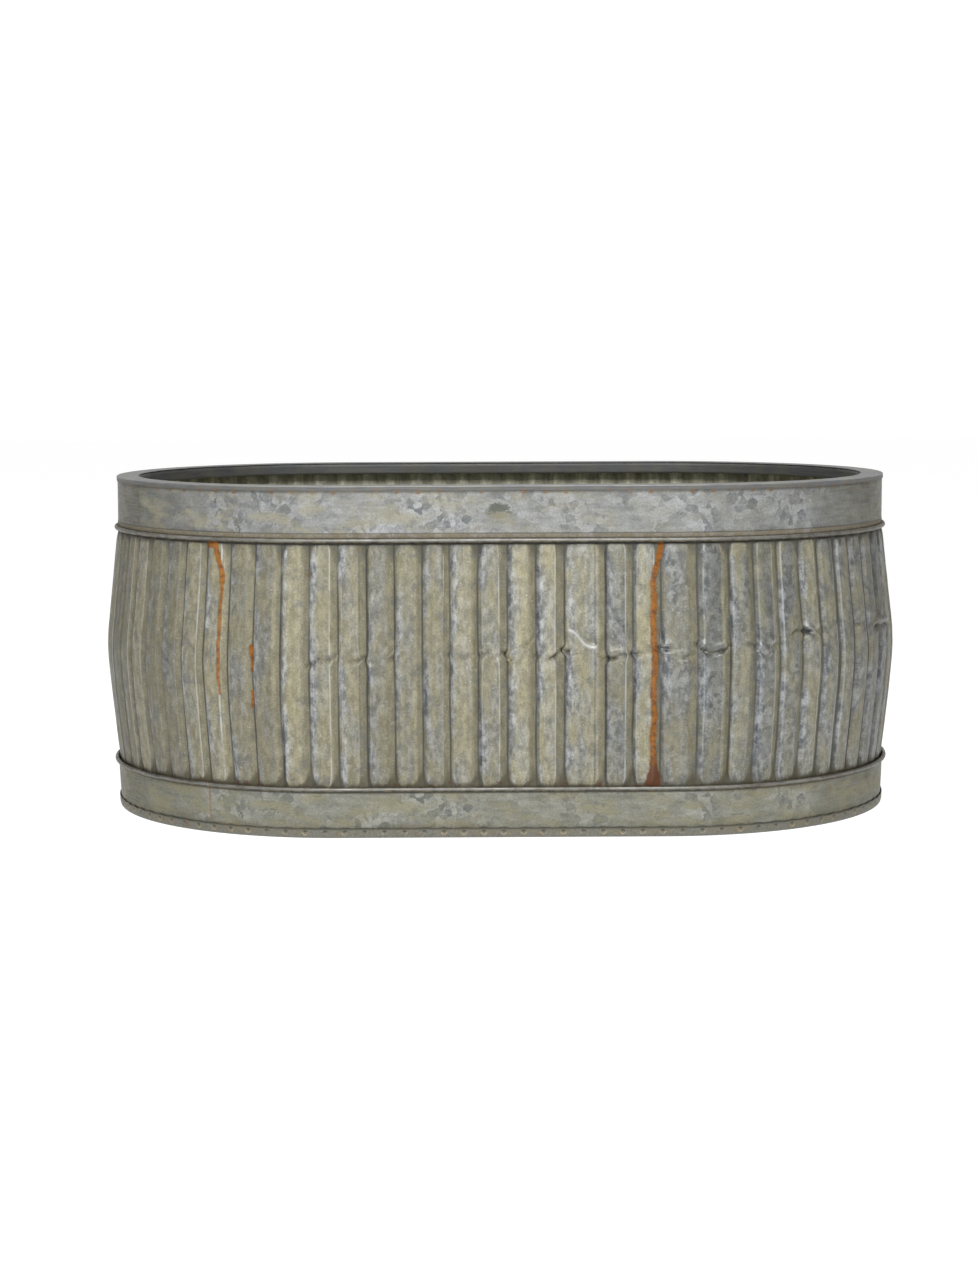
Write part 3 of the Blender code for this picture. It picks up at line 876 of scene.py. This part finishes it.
def wall_material():
    shade = Shade("aged_fluted_zinc")
    place_at = shade.run_height()
    run = part(place_at, "X")
    height = part(place_at, "Y")
    tone = shade.mark("tone")
    deep = shade.mark("deep")
    cloud = noise(place_at * (1, 0.26, 1), 0.02, 5.0, 0.58)
    mottle = noise(place_at * (1, 0.45, 1), 0.0075, 6.0, 0.68)
    streaks = noise(place_at * (1, 0.14, 1), 0.005, 4.0, 0.55)
    blotch = noise(place_at, 0.045, 5.0, 0.6)
    grain = noise(place_at, 0.0016, 4.0, 0.65)
    crystals = spangle(warped(place_at, 0.006, 0.004), 0.006)

    crystal_tone = crystals * 0.3 + mottle * 0.7
    metal = ramp(crystal_tone, 0.26, 0.68, (0.128, 0.134, 0.124), (0.36, 0.366, 0.345))
    metal = mix(span(blotch, 0.42, 0.62) * 0.6, metal, (0.225, 0.228, 0.205))
    haze = ramp(mottle, 0.28, 0.7, (0.192, 0.176, 0.108), (0.32, 0.298, 0.2))
    haze = mix(span(streaks, 0.45, 0.7) * 0.35, haze, (0.15, 0.14, 0.098))
    wanted = shade.mark("patina") * 0.5 + cloud * 1.75 + tone * 0.3 + span(run, 0.25, -0.25, -0.04, 0.28)
    hazed = span(wanted, 0.82, 1.46)
    colour = mix(hazed, metal, haze)
    flank = ramp(mottle, 0.38, 0.64, (0.12, 0.132, 0.146), (0.45, 0.465, 0.475))
    bare = shade.mark("bare") * span(cloud, 0.62, 0.4)
    colour = mix(bare, colour, flank)
    # Lower tones darken a facet: a random tone, plus painted shade on the step facets.
    colour = tinted(colour, mix(tone, (0.7, 0.7, 0.7), (1.14, 1.13, 1.1)))
    darker = span(noise(place_at, 0.02, 6.0, 0.65), 0.52, 0.66) * 0.6
    colour = mix(darker, colour, (0.13, 0.134, 0.126))
    flecks = span(noise(place_at, 0.0036, 4.0, 0.65), 0.6, 0.67)
    flecks = flecks * span(noise(place_at, 0.05, 2.0, 0.5), 0.42, 0.56)
    colour = mix(flecks * 0.45, colour, (0.5, 0.51, 0.51))
    colour = tinted(colour, ramp(noise(place_at, 0.0024, 4.0, 0.7), 0.3, 0.7, (0.8, 0.8, 0.8),
                                 (1.15, 1.15, 1.15)))
    patchy = noise(place_at * (1, 0.3, 1), 0.013, 4.0, 0.6)
    wear_and_highlight = span(shade.mark("edge"), 0.72, 1.0) * span(patchy, 0.36, 0.54, 0.2, 1.0)
    # Worn fold edges, and the crease ridge of the front panel as a painted highlight.
    wear_and_highlight = most(wear_and_highlight * shade.mark("wear"), shade.mark("ridge_and_highlight"))
    colour = mix(wear_and_highlight * 0.85, colour, (0.5, 0.51, 0.5))
    # Painted shade: darker towards both ends of the trough, and in the deeper parts of the flutes.
    across = abs(part(shade.place(), "X"))
    end_and_groove_shade = span(across, 0.33, 0.5) * 0.34 + deep * 0.2
    colour = mix(end_and_groove_shade, colour, (0.045, 0.044, 0.036))
    # Dirt and painted shade along the deepest folds of the grooves.
    crease_dirt_and_shade = span(shade.mark("crease"), 0.45, 1.0) * span(cloud, 0.3, 0.55, 0.4, 1.0)
    colour = mix(crease_dirt_and_shade * 0.85, colour, (0.04, 0.042, 0.038))

    ragged = (cloud - 0.5) * 0.024
    above_foot = height - WALL_FOOT + ragged
    below_head = WALL_HEAD - height + ragged
    reach = span(deep, 0.0, 0.9, 0.006, 0.03)
    foot_grime = 1.0 - above_foot / reach
    foot_grime = span(foot_grime, 0.0, 0.9) * span(blotch, 0.3, 0.55, 0.45, 0.9)
    # Dirt and painted shade at the top of the wall under the upper band, reaching further down the grooves.
    head_dirt_and_shade = 1.0 - below_head / reach
    head_dirt_and_shade = span(head_dirt_and_shade, 0.0, 0.9) * span(blotch, 0.65, 0.4, 0.35, 0.8)
    colour = mix(foot_grime, colour, (0.066, 0.058, 0.034))
    colour = mix(head_dirt_and_shade, colour, (0.07, 0.068, 0.052))
    # A painted shadow on the wall just under the upper bead.
    shadow_under_bead = span(height, WALL_HEAD - 0.004, WALL_HEAD - 0.0012)
    colour = mix(shadow_under_bead * 0.85, colour, (0.026, 0.025, 0.022))

    runs_of_rust = [rust_run(run, height, *stain) for stain in WALL_RUST]
    specks = span(noise(place_at, 0.0045, 2.0, 0.5), 0.715, 0.75)
    foot_rust = span(noise(place_at, 0.01, 5.0, 0.7), 0.56, 0.64)
    foot_rust = foot_rust * span(height, WALL_FOOT + 0.014, WALL_FOOT)
    stains = span(noise(place_at * (1, 0.35, 1), 0.012, 4.0, 0.6), 0.62, 0.72) * span(run, -0.1, -0.22)
    rust = most(*runs_of_rust, specks * 0.6, foot_rust * 0.7, stains * 0.45)
    rust_colour = ramp(noise(place_at, 0.008, 5.0, 0.7), 0.42, 0.64, (0.29, 0.105, 0.01),
                       (0.13, 0.045, 0.008))
    rust_colour = ramp(rust, 0.9, 0.45, rust_colour, (0.12, 0.06, 0.02))
    rust_colour = ramp(height, WALL_FOOT + 0.045, WALL_FOOT + 0.015, rust_colour, (0.105, 0.034, 0.012))
    colour = mix(rust * 0.94, colour, rust_colour)

    inside = shade.mark("inside")
    dull = ramp(mottle, 0.35, 0.65, (0.46, 0.45, 0.34), (0.74, 0.73, 0.6))
    dull = mix(span(streaks, 0.45, 0.65) * 0.45, dull, (0.32, 0.3, 0.21))
    # Inside, the hollows behind the lands are darker and the backs of the grooves lighter: painted shade.
    dull = tinted(dull, mix(deep, (0.62, 0.62, 0.6), (1.1, 1.1, 1.08)))
    colour = mix(inside, colour, dull)

    cover = most(hazed, rust, crease_dirt_and_shade, foot_grime, head_dirt_and_shade, inside * 0.8)
    metallic = span(cover, 0.0, 1.0, 0.55, 0.04)
    rough = span(grain + hazed * 0.25, 0.3, 1.0, 0.38, 0.7) + rust * 0.35
    bump = grain * 0.25 + mottle * 0.55 + rust * 0.4
    return shade.finish(colour, rough, metallic, bump, 0.00045)


def band_material():
    shade = Shade("spangled_band_zinc")
    place_at = shade.run_height()
    run = part(place_at, "X")
    level = shade.mark("level")
    across = abs(part(shade.place(), "X"))
    upper = span(level, 0.15, 0.25)
    brushed = noise(place_at * (0.05, 1, 1), 0.0022, 4.0, 0.6)
    smears = noise(place_at * (0.22, 1, 1), 0.0075, 5.0, 0.62)
    blotch = noise(place_at, 0.05, 5.0, 0.6)
    grain = noise(place_at, 0.0018, 4.0, 0.6)
    crystals = spangle(warped(place_at, 0.008, 0.007), 0.0085)
    feathered = noise(warped(place_at, 0.01, 0.01), 0.0045, 5.0, 0.68)
    crystal_tone = crystals * 0.4 + feathered * 0.6

    showing = span(noise(place_at, 0.07, 4.0, 0.6), 0.42, 0.6)
    clear = span(across, 0.44, 0.36) * most(showing, 0.25)
    plain = ramp(smears, 0.3, 0.7, (0.215, 0.22, 0.208), (0.35, 0.355, 0.338))
    spangled = ramp(crystal_tone, 0.25, 0.72, (0.165, 0.175, 0.178), (0.41, 0.418, 0.418))
    colour = mix(clear, plain, spangled)
    # Painted shade towards both ends of the trough, in dark brushed streaks.
    end = span(across + blotch * 0.16, 0.44, 0.58)
    end_shade_streaks = ramp(brushed, 0.3, 0.7, (0.072, 0.069, 0.05), (0.195, 0.187, 0.138))
    end_shade_streaks = mix(span(smears, 0.42, 0.66) * 0.8, end_shade_streaks, (0.095, 0.098, 0.092))
    colour = mix(end * 0.9, colour, end_shade_streaks)
    beige_reach = most(span(run, 0.3, -0.2, 0.25, 0.85), span(upper, 0.0, 1.0, 0.85, 0.0))
    beige = span(noise(place_at * (0.4, 1, 1), 0.022, 5.0, 0.62), 0.44, 0.62) * beige_reach
    colour = mix(beige * 0.8, colour, (0.275, 0.256, 0.172))
    leaves = span(noise(warped(place_at, 0.006, 0.01), 0.0085, 3.0, 0.55), 0.66, 0.7)
    colour = mix(leaves * 0.55, colour, (0.135, 0.14, 0.135))
    dents = span(smears, 0.6, 0.72) * span(upper, 0.0, 1.0, 0.55, 0.2)
    colour = mix(dents, colour, (0.11, 0.112, 0.1))

    fold_line = UPPER_HEM_HEIGHT + 0.0085
    below_fold = span(level, fold_line + 0.0008, fold_line - 0.0008)
    above_bead = below_fold * span(level, UPPER_HEM_HEIGHT + 0.0005, UPPER_HEM_HEIGHT + 0.0025)
    tan = above_bead * span(noise(place_at, 0.014, 5.0, 0.7), 0.3, 0.6, 0.35, 1.0)
    colour = mix(tan * 0.85, colour, (0.15, 0.118, 0.064))
    # Painted shade in the crevice along the band's fold above the bead.
    line = span(level, fold_line - 0.001, fold_line) * span(level, fold_line + 0.0018, fold_line + 0.0004)
    colour = mix(line * 0.6, colour, (0.06, 0.058, 0.05))

    # Painted shade in the crevice above the upper bead and on the band under the lower bead.
    bead_crevice_shade = most(near(level, UPPER_HEM_HEIGHT + 0.003, 0.001),
                    near(level, LOWER_HEM_HEIGHT - 0.0035, 0.0022))
    colour = mix(bead_crevice_shade * 0.8, colour, (0.045, 0.04, 0.03))
    lower_face = span(level, LOWER_HEM_HEIGHT, LOWER_HEM_HEIGHT - 0.004)
    foot_dirt = span(level, 0.024, 0.012) * span(blotch, 0.35, 0.6)
    colour = mix(foot_dirt * 0.35, colour, (0.12, 0.105, 0.065))
    colour = tinted(colour, mix(lower_face, (1.0, 1.0, 1.0), (0.84, 0.83, 0.73)))
    colour = tinted(colour, ramp(noise(place_at, 0.0026, 4.0, 0.7), 0.3, 0.7, (0.84, 0.84, 0.84),
                                 (1.12, 1.12, 1.12)))

    stain_place = near(run, -0.006, 0.042) * near(level, 0.401, 0.017)
    torn = noise(place_at * (0.5, 1, 1), 0.0075, 6.0, 0.75)
    stain = span(stain_place * 0.45 + torn, 0.76, 0.9)
    colour = mix(stain * 0.85, colour, (0.06, 0.068, 0.05))
    wet = near(run, -0.004, 0.022) * near(level, 0.392, 0.01)
    colour = mix(wet * 0.5, colour, (0.2, 0.18, 0.095))
    # Painted shade on the band just under the rim's lip.
    shade_under_lip = span(level, LIP_FOOT - 0.004, LIP_FOOT - 0.0005)
    beat = calculate("PINGPONG", run, SPOT_PITCH / 2)
    spots = span(beat, 0.0038, 0.0016) * span(noise(place_at, 0.016, 2.0, 0.5), 0.42, 0.56)
    spots = spots * near(level, LIP_FOOT - 0.002, 0.003)
    colour = mix(shade_under_lip * 0.6, colour, (0.085, 0.08, 0.062))
    colour = mix(spots * 0.85, colour, (0.215, 0.125, 0.06))

    left_lap, right_lap = LOWER_BAND_LAPS
    rust = most(rust_run(run, level, left_lap, LOWER_HEM_HEIGHT + 0.002, 0.016, 0.0016, 0.001),
                rust_run(run, level, RUSTY_SEAM, 0.034, 0.012, 0.0013, 0.001),
                rust_run(run, level, right_lap, LOWER_HEM_HEIGHT, 0.02, 0.0008, 0.0006) * 0.5,
                span(noise(place_at, 0.005, 2.0, 0.5), 0.72, 0.76) * 0.5)
    rust_colour = ramp(grain, 0.35, 0.65, (0.16, 0.075, 0.03), (0.3, 0.155, 0.06))
    colour = mix(rust * 0.85, colour, rust_colour)

    scratch = noise(place_at * (0.25, 1, 1), 0.004, 5.0, 0.7)
    colour = mix(span(scratch, 0.66, 0.74) * 0.5, colour, (0.6, 0.61, 0.61))
    colour = mix(shade.mark("inside"), colour, bead_colour(shade, place_at, level))
    cover = most(beige * 0.7, tan, stain, rust, bead_crevice_shade)
    metallic = span(cover, 0.0, 1.0, 0.72, 0.05)
    rough = span(crystal_tone, 0.1, 0.9, 0.4, 0.56) + cover * 0.25
    bump = grain * 0.3 + brushed * 0.25 + smears * 0.45
    return shade.finish(colour, rough, metallic, bump, 0.00025)


def bead_colour(shade, place_at, level):
    """The rolled edges: a painted highlight along the middle of their face, and dirt with painted shade
    above and below it.
    """
    curl = shade.mark("curl")
    is_upper = span(level, 0.15, 0.25)
    highlight_at = calculate("MULTIPLY_ADD", is_upper, 0.12, 0.56)
    wear_and_highlight = span(abs(curl - highlight_at), 0.17, 0.04)
    wear_and_highlight = wear_and_highlight * span(noise(place_at, 0.018, 4.0, 0.65), 0.3, 0.6, 0.45, 1.0)
    dirt_and_shade = ramp(noise(place_at, 0.008, 4.0, 0.65), 0.38, 0.62, (0.06, 0.055, 0.042), (0.15, 0.128, 0.085))
    return mix(wear_and_highlight, dirt_and_shade, (0.23, 0.23, 0.215))


def near(value, at, width):
    """1 at a value, falling to 0 a width away."""
    return span(abs(value - at), width, 0.0)


def rim_material():
    shade = Shade("rim_zinc")
    place_at = shade.run_height()
    run = part(place_at, "X")
    level = shade.mark("level")
    reach = shade.mark("reach")
    blotch = noise(place_at, 0.04, 5.0, 0.6)
    grain = noise(place_at, 0.002, 4.0, 0.6)
    brushed = noise(place_at * (0.04, 1, 1), 0.002, 3.0, 0.6)
    tone = grain * 0.4 + brushed * 0.6
    colour = ramp(tone, 0.3, 0.7, (0.092, 0.095, 0.098), (0.175, 0.178, 0.18))
    colour = mix(span(blotch, 0.42, 0.62) * 0.5, colour, (0.19, 0.18, 0.14))
    skirt = span(reach, -0.0265, -0.028)
    colour = mix(skirt * 0.35, colour, (0.02, 0.021, 0.022))
    on_lip = span(reach, -0.004, -0.002)
    # A painted highlight along the rounded outer edge of the ring.
    arris_highlight = near(level, HEIGHT - 0.0006, 0.0012) * near(reach, -0.0004, 0.0014)
    colour = mix(arris_highlight * span(blotch, 0.3, 0.55, 0.3, 0.8), colour, (0.3, 0.3, 0.29))
    foot = near(level, LIP_FOOT, 0.0026) * on_lip
    colour = mix(foot * 0.6, colour, (0.075, 0.07, 0.055))
    beat = calculate("PINGPONG", run, SPOT_PITCH / 2)
    spots = span(beat, 0.004, 0.0014) * near(level, LIP_FOOT + 0.0008, 0.0028)
    spots = spots * span(noise(place_at, 0.016, 2.0, 0.5), 0.42, 0.56) * on_lip
    colour = mix(spots * 0.8, colour, (0.18, 0.1, 0.048))
    rough = span(grain, 0.3, 0.7, 0.52, 0.66)
    metallic = span(most(spots, foot), 0.0, 1.0, 0.45, 0.1)
    bump = grain * 0.4 + brushed * 0.3
    return shade.finish(colour, rough, metallic, bump, 0.00012)


def pan_material():
    shade = Shade("pan_zinc")
    place_at = shade.place()
    run = part(shade.run_height(), "X")
    level = shade.mark("level")
    blotch = noise(place_at, 0.03, 5.0, 0.6)
    grain = noise(place_at, 0.002, 4.0, 0.6)
    colour = ramp(grain, 0.3, 0.7, (0.125, 0.125, 0.105), (0.225, 0.22, 0.185))
    tan = span(level, 0.002, 0.006) * span(blotch, 0.4, 0.62)
    colour = mix(tan * 0.5, colour, (0.2, 0.175, 0.105))
    # Painted shade along the top of the pan's lip, where it meets the band.
    edge = span(level, PAN_LIP - 0.004, PAN_LIP - 0.0012)
    colour = mix(edge * 0.75, colour, (0.045, 0.042, 0.032))
    beat = calculate("PINGPONG", run, DIMPLE_PITCH / 2)
    drop = level - DIMPLE_HEIGHT
    distance = calculate("SQRT", beat * beat + drop * drop)
    # The dimples are painted: shade in their upper hollows and a highlight on their lower rims.
    dimple_shade = span(distance, 0.0034, 0.0022) * span(drop, -0.001, 0.0012)
    dimple_highlight = near(distance, 0.0032, 0.0011) * span(drop, 0.001, -0.0008)
    colour = mix(dimple_shade * 0.75, colour, (0.05, 0.045, 0.035))
    colour = mix(dimple_highlight * span(noise(place_at, 0.03, 3.0, 0.6), 0.4, 0.6), colour, (0.4, 0.33, 0.22))
    rust = span(noise(place_at, 0.008, 4.0, 0.65), 0.6, 0.68) * span(level, 0.001, 0.004)
    rust = most(rust, rust_run(run, level, RUSTY_SEAM, 0.016, 0.004, 0.003, 0.002))
    colour = mix(rust * 0.75, colour, (0.17, 0.08, 0.035))
    bed = ramp(blotch, 0.35, 0.65, (0.15, 0.143, 0.108), (0.25, 0.25, 0.225))
    bed = mix(span(noise(place_at, 0.12, 5.0, 0.6), 0.42, 0.6) * 0.6, bed, (0.3, 0.29, 0.24))
    floor = shade.mark("inside") * span(level, 0.003, 0.0015)
    colour = mix(floor, colour, bed)
    metallic = span(most(rust, floor), 0.0, 1.0, 0.45, 0.15)
    rough = span(grain, 0.3, 0.7, 0.5, 0.68)
    return shade.finish(colour, rough, metallic, grain, 0.00025)


def solder_material():
    shade = Shade("dull_solder")
    place_at = shade.run_height()
    lumps = noise(place_at, 0.006, 4.0, 0.6)
    grain = noise(place_at, 0.0012, 3.0, 0.6)
    colour = ramp(lumps, 0.3, 0.7, (0.2, 0.2, 0.195), (0.38, 0.38, 0.37))
    rough = span(grain, 0.3, 0.7, 0.38, 0.6)
    return shade.finish(colour, rough, 0.8, lumps + grain * 0.3, 0.0005)


def wire_material():
    shade = Shade("drawn_wire")
    place_at = shade.place()
    drawn = noise(place_at, 0.0015, 3.0, 0.6)
    rust = span(noise(place_at, 0.012, 4.0, 0.6), 0.45, 0.6)
    colour = ramp(drawn, 0.3, 0.7, (0.2, 0.19, 0.175), (0.36, 0.35, 0.33))
    colour = mix(rust, colour, (0.12, 0.06, 0.028))
    rough = span(drawn, 0.3, 0.7, 0.4, 0.6)
    return shade.finish(colour, rough, span(rust, 0.0, 1.0, 0.85, 0.1), drawn, 0.0001)


# ---- building it all
def build_trough():
    wall = wall_material()
    band = band_material()
    rim = rim_material()
    pan = pan_material()
    solder = solder_material()
    wire = wire_material()
    for side in SHEET_STARTS:
        wall_sheet(side, wall)
    lower = curled_section(LOWER_BAND_TOP_OFFSET, LOWER_BAND_FOOT_OFFSET, FLOOR_TOP, LOWER_HEM_HEIGHT, 0.0)
    upper = curled_section(UPPER_BAND_OFFSET, UPPER_BAND_OFFSET, UNDER_RIM, UPPER_HEM_HEIGHT, 0.0005)
    bands("lower", lower, LOWER_BAND_LAPS, band, 81)
    bands("upper", upper, UPPER_BAND_LAPS, band, 91)
    rim_ring(rim)
    inner_skirt(rim)
    floor_pan(pan)
    floor_solder(solder)
    for lap_side, lap in {"front": 0, "right": 1, "left": -1}.items():
        lap_solder(lap_side, lap, solder)
    for level in ("lower", "upper"):
        for side in ("front", "back"):
            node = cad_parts[f"{level}_hem_wire_{side}"]
            node.data.materials.clear()
            node.data.materials.append(wire)


# ---- studio and camera
FLOOR_REACH = 12.0
CAMERA_PLACE = Vector((-0.0412, -3.5, 0.6109))
CAMERA_TURNS = (0.0073, 0.1148, -0.0039)
FOCAL_LENGTH = 74.97
FILM_HEIGHT = 36


def studio_floor():
    mesh = bpy.data.meshes.new("studio_floor")
    corners = [(x * FLOOR_REACH, y * FLOOR_REACH, 0) for x, y in ((-1, -1), (1, -1), (1, 1), (-1, 1))]
    mesh.from_pydata(corners, [], [(0, 1, 2, 3)])
    shade = Shade("pale_floor")
    looks = {"Base Color": (0.35, 0.35, 0.35, 1), "Roughness": 0.9, "Specular IOR Level": 0.0,
             "Emission Color": (1, 1, 1, 1), "Emission Strength": 0.85}
    for key, value in looks.items():
        shade.shader.inputs[key].default_value = value
    mesh.materials.append(shade.material)
    floor = bpy.data.objects.new("studio_floor", mesh)
    bpy.context.scene.collection.objects.link(floor)


def studio_light():
    """A room that is darker at both sides and white behind the trough."""
    world = bpy.data.worlds.new("studio")
    bpy.context.scene.world = world
    world.use_nodes = True
    background = world.node_tree.nodes["Background"]
    direction = Value(world.node_tree.nodes.new("ShaderNodeTexCoord").outputs["Generated"])
    from_sides = span(abs(part(direction, "X")), 0.20, 0.80, 1.0, 0.20)
    from_back = span(part(direction, "Y"), 0.50, 0.85, 0.50, 1.15)
    background.inputs["Color"].default_value = (1, 1, 1, 1)
    connect(from_sides * from_back, background.inputs["Strength"])


def lamp(name, place_at, aim, size, power):
    data = bpy.data.lights.new(name, "AREA")
    data.shape = "RECTANGLE"
    data.size, data.size_y = size
    data.energy = power
    light = bpy.data.objects.new(name, data)
    light.location = place_at
    light.rotation_euler = (Vector(aim) - Vector(place_at)).to_track_quat("-Z", "Y").to_euler()
    bpy.context.scene.collection.objects.link(light)


def camera():
    """The photograph's view: nearly square on to the front, from a little above."""
    yaw, pitch, roll = CAMERA_TURNS
    forward = Vector((math.sin(yaw) * math.cos(pitch), math.cos(yaw) * math.cos(pitch), -math.sin(pitch)))
    level_right = Vector((math.cos(yaw), -math.sin(yaw), 0))
    level_up = level_right.cross(forward)
    right = level_right * math.cos(roll) + level_up * math.sin(roll)
    up = level_up * math.cos(roll) - level_right * math.sin(roll)
    data = bpy.data.cameras.new("camera")
    data.sensor_fit = "VERTICAL"
    data.sensor_height = FILM_HEIGHT
    data.lens = FOCAL_LENGTH
    view = bpy.data.objects.new("camera", data)
    turn = Matrix((right, up, -forward)).transposed()
    view.matrix_world = Matrix.Translation(CAMERA_PLACE) @ turn.to_4x4()
    bpy.context.scene.collection.objects.link(view)
    bpy.context.scene.camera = view


build_trough()
studio_floor()
studio_light()
lamp("top_light", (0, -0.6, 2.6), (0, 0, 0.2), (3.0, 2.0), 45)
lamp("key_light", (-0.15, -2.8, 2.2), (0, 0, 0.2), (0.9, 0.9), 68)
camera()
bpy.context.scene.view_settings.view_transform = "Standard"
